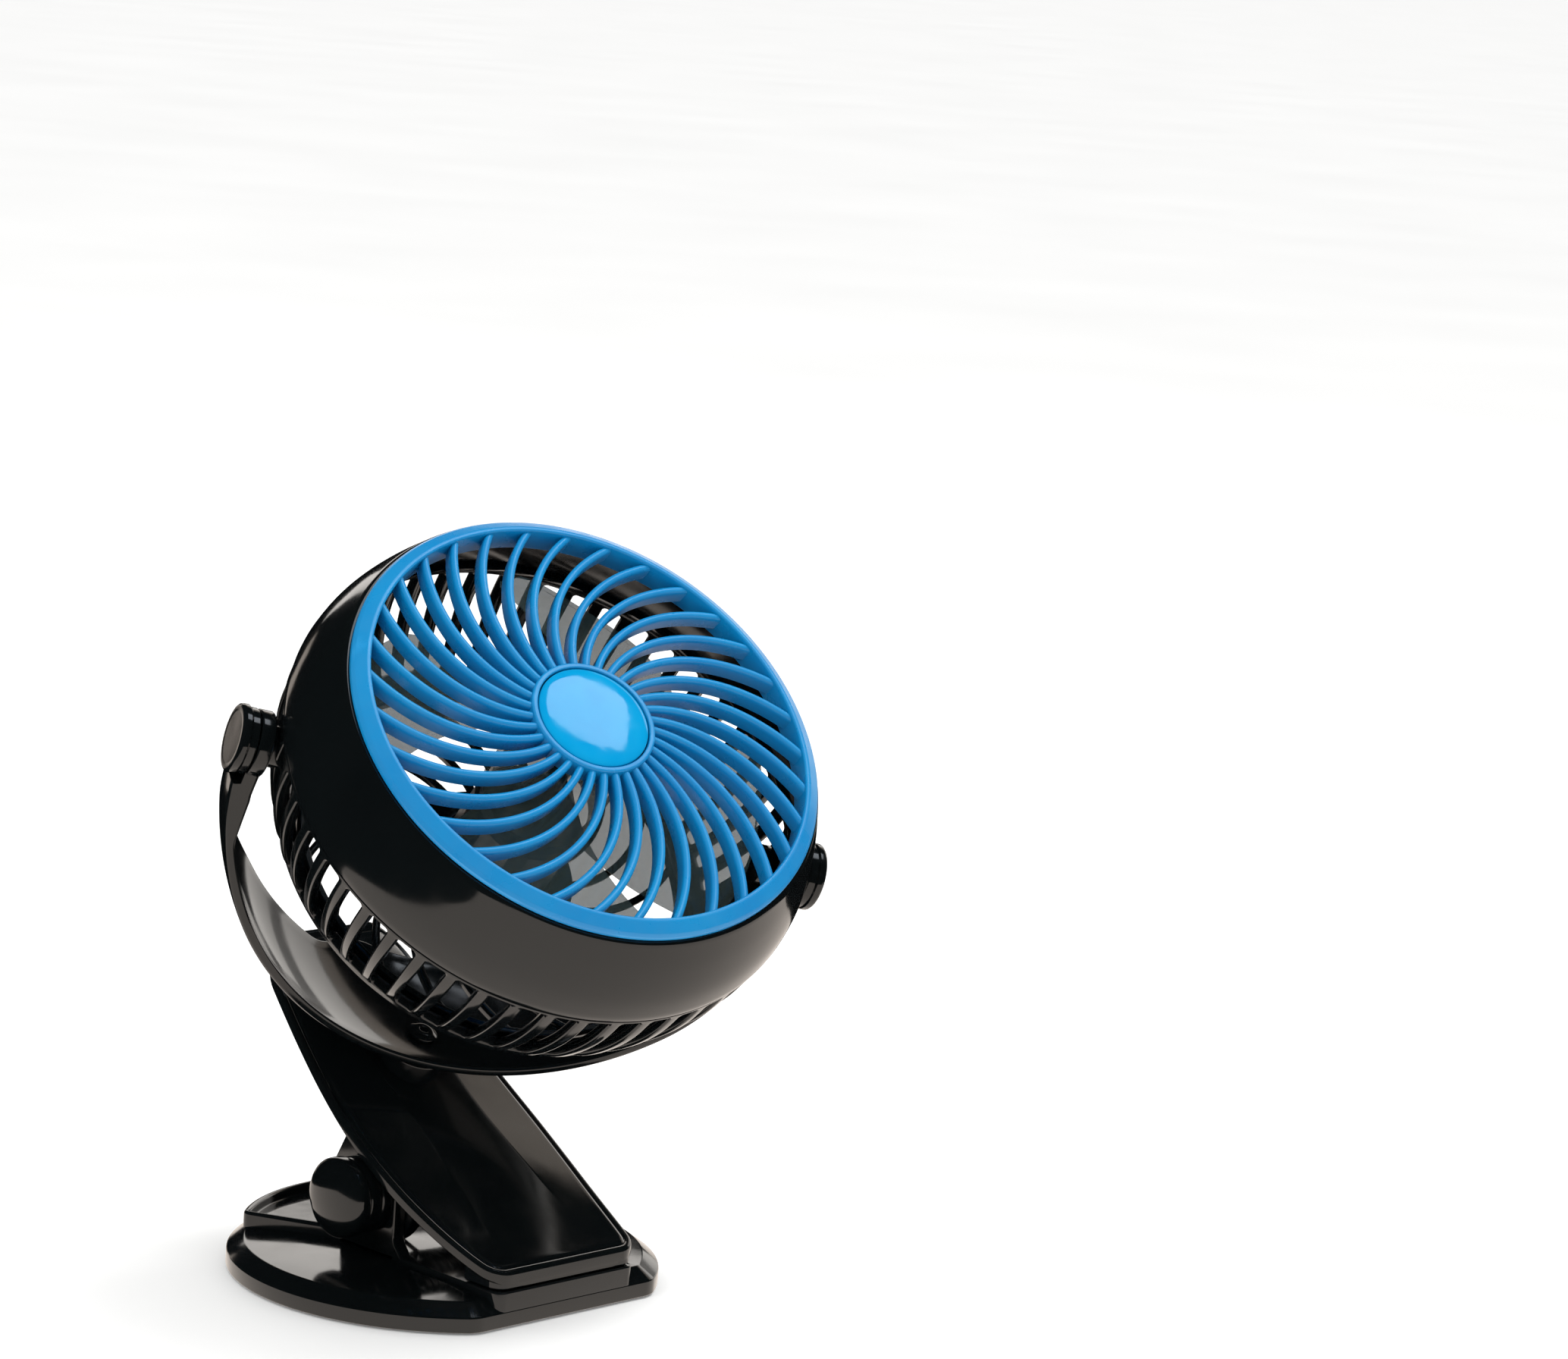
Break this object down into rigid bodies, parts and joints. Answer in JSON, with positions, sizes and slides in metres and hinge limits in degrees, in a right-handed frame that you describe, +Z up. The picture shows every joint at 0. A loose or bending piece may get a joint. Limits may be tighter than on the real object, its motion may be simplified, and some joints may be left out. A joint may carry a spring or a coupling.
{
  "type": "clip fan",
  "caption": "Clip-on fan: round head with a spiral front grille and slotted rear tilts in a bow yoke, which swivels on a spring clamp with a flat base.",
  "frame": {"origin": "centre of the base's underside, on the surface it stands on", "axes": "+Z up, +X along the clip's hinge, the jaws open towards -Y"},
  "size_m": [0.1548, 0.1568, 0.206],
  "materials": {
    "black_gloss": "polished black ABS",
    "blue_gloss": "smooth blue ABS",
    "blue_cap": "smooth bright blue cap",
    "smoke": "smoky translucent polycarbonate",
    "steel": "zinc-plated steel",
    "brass": "turned brass",
    "rubber": "matt black rubber",
    "board": "green solder mask"
  },
  "bodies": {
    "base": {"base_pad": "rubber", "base_plate": "black_gloss", "base_screw_1": "steel", "base_screw_2": "steel", "base_screw_3": "steel", "base_screw_4": "steel", "base_shell": "black_gloss", "lower_jaw_pad": "rubber", "hinge_pin": "steel", "hinge_cap_left": "black_gloss", "hinge_cap_right": "black_gloss", "torsion_spring": "steel"},
    "arm": {"arm_shell": "black_gloss", "upper_jaw_pad": "rubber", "swivel_screw": "steel", "swivel_washer": "black_gloss", "swivel_nut": "steel"},
    "yoke": {"yoke": "black_gloss"},
    "knob_left": {"tilt_knob_left": "black_gloss", "tilt_stud_left": "steel"},
    "knob_right": {"tilt_knob_right": "black_gloss", "tilt_stud_right": "steel"},
    "head": {"thread_insert_left": "brass", "thread_insert_right": "brass", "front_grille": "blue_gloss", "grille_cap": "blue_cap", "front_shell": "black_gloss", "rear_shell": "black_gloss", "rear_grille": "black_gloss", "motor": "steel", "motor_screw_1": "steel", "motor_screw_2": "steel", "motor_screw_3": "steel", "motor_cover": "black_gloss", "circuit_board": "board", "usb_socket": "steel"},
    "dial": {"speed_dial": "black_gloss"},
    "rotor": {"fan_blades": "smoke", "motor_shaft": "steel"}
  },
  "joints": [
    {"name": "clip_open", "type": "hinge", "parent": "base", "child": "arm", "pos_m": [0, 0.0035, 0.025], "axis": [-1, 0, 0], "range_deg": [0, 34], "stiffness_Nm_per_rad": 0.9, "springref_deg": -45.84, "deforming": ["torsion_spring"]},
    {"name": "yoke_swivel", "type": "hinge", "parent": "arm", "child": "yoke", "pos_m": [0, -0.0237, 0.1325], "axis": [0, -0.4741, 0.8805], "continuous": true},
    {"name": "knob_left_turn", "type": "hinge", "parent": "yoke", "child": "knob_left", "pos_m": [-0.07149, 0.01076, 0.15105], "axis": [-0.8771, 0.4228, 0.2277], "continuous": true},
    {"name": "knob_right_turn", "type": "hinge", "parent": "yoke", "child": "knob_right", "pos_m": [0.07149, -0.05816, 0.11395], "axis": [0.8771, -0.4228, -0.2277], "continuous": true},
    {"name": "head_tilt", "type": "hinge", "parent": "yoke", "child": "head", "pos_m": [0, -0.0237, 0.1325], "axis": [0.8771, -0.4228, -0.2277], "continuous": true},
    {"name": "speed_dial_turn", "type": "hinge", "parent": "head", "child": "dial", "pos_m": [0.00593, 0.00487, 0.10229], "axis": [0.1412, 0.6802, -0.7193], "range_deg": [0, 270]},
    {"name": "fan_spin", "type": "hinge", "parent": "head", "child": "rotor", "pos_m": [0, -0.0237, 0.1325], "axis": [-0.1412, -0.6802, 0.7193], "continuous": true}
  ]
}
